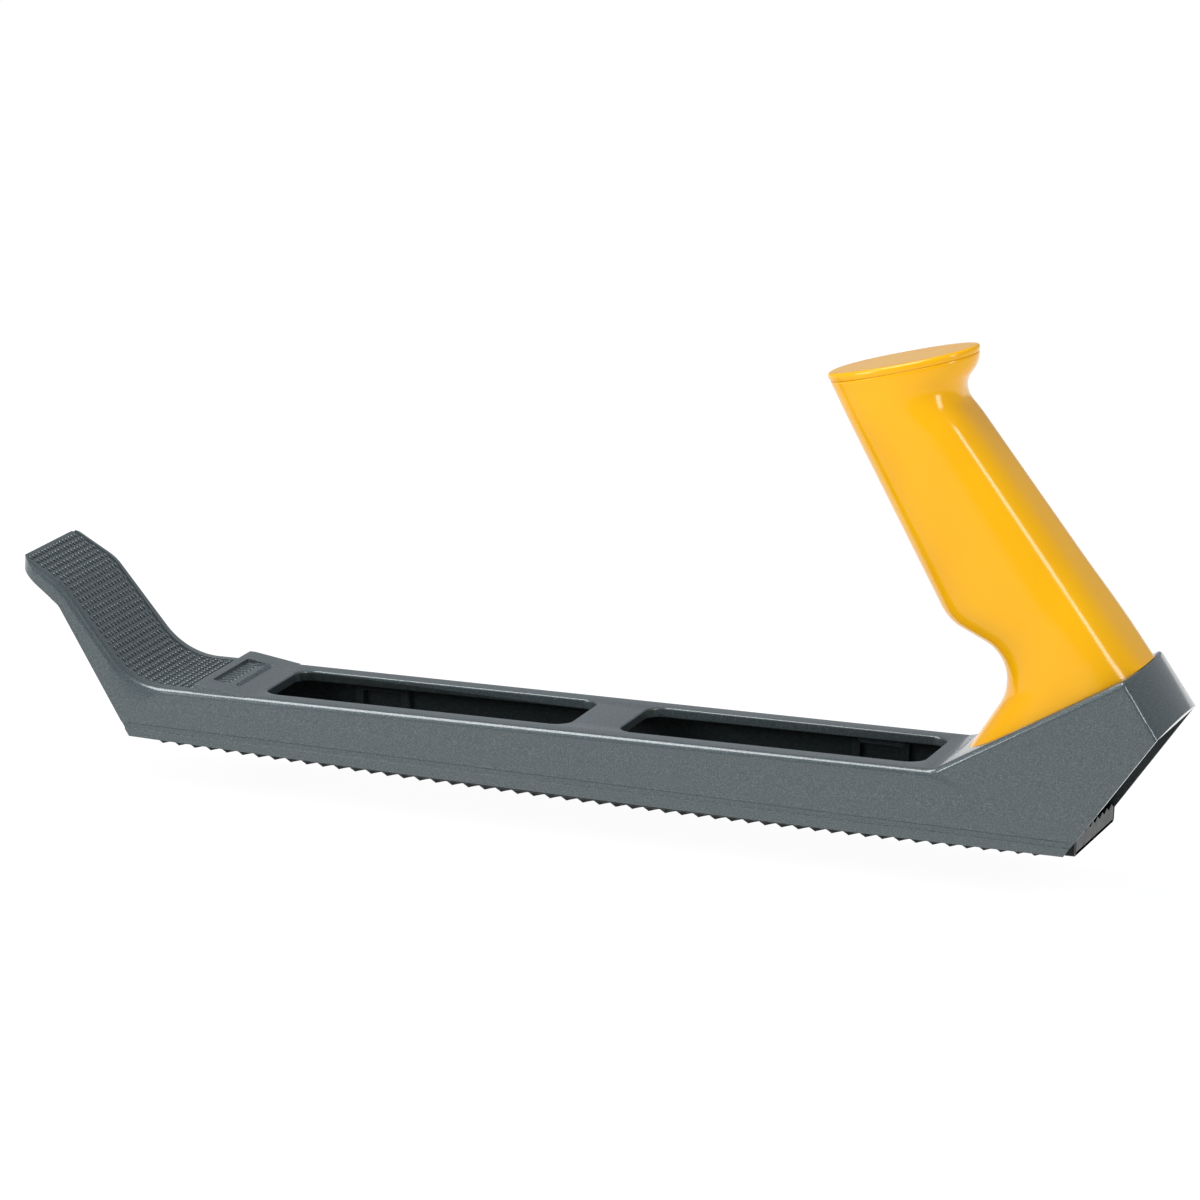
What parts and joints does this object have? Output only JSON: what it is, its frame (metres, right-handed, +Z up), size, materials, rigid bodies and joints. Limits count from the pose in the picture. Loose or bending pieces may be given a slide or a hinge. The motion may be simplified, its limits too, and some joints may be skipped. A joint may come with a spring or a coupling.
{
  "type": "rasp plane",
  "caption": "Hand shaping plane: cast channel body with a stretched toothed blade below, raised thumb rest at the toe, raked pistol handle at the heel and a screw blade tensioner.",
  "frame": {"origin": "under the middle of the tool, level with the lowest tooth tips", "axes": "+X from the toe to the heel and handle, +Y across the tool, +Z up out of the deck"},
  "size_m": [0.3134, 0.0454, 0.1285],
  "materials": {
    "enamelled_casting": "grey-green hammered enamel on die-cast aluminium",
    "hardened_blade": "blued hardened steel",
    "yellow_moulding": "glossy moulded plastic",
    "plated_steel": "zinc-plated steel",
    "dark_steel": "oiled black steel"
  },
  "bodies": {
    "frame": {"body_casting": "enamelled_casting", "handle": "yellow_moulding", "handle_cap": "yellow_moulding", "handle_bolt": "plated_steel", "bolt_washer": "plated_steel", "lock_washer": "plated_steel", "handle_nut": "plated_steel", "tension_washer": "plated_steel"},
    "screw": {"tension_screw": "plated_steel", "screw_clip": "dark_steel"},
    "slide": {"tension_slide": "dark_steel"},
    "blade": {"blade": "hardened_blade"}
  },
  "joints": [
    {"name": "tension_screw_turn", "type": "hinge", "parent": "frame", "child": "screw", "pos_m": [0.1295, 0, 0.014], "axis": [1, 0, 0], "range_deg": [0, 1800]},
    {"name": "slide_travel", "type": "slide", "parent": "frame", "child": "slide", "axis": [-1, 0, 0], "range_m": [0, 0.004]},
    {"name": "blade_release", "type": "slide", "parent": "frame", "child": "blade", "axis": [0, 0, -1], "range_m": [0, 0.01]}
  ],
  "couplings": [
    {"joint": "tension_screw_turn", "follows": "slide_travel", "rad_per_m": 7854}
  ]
}
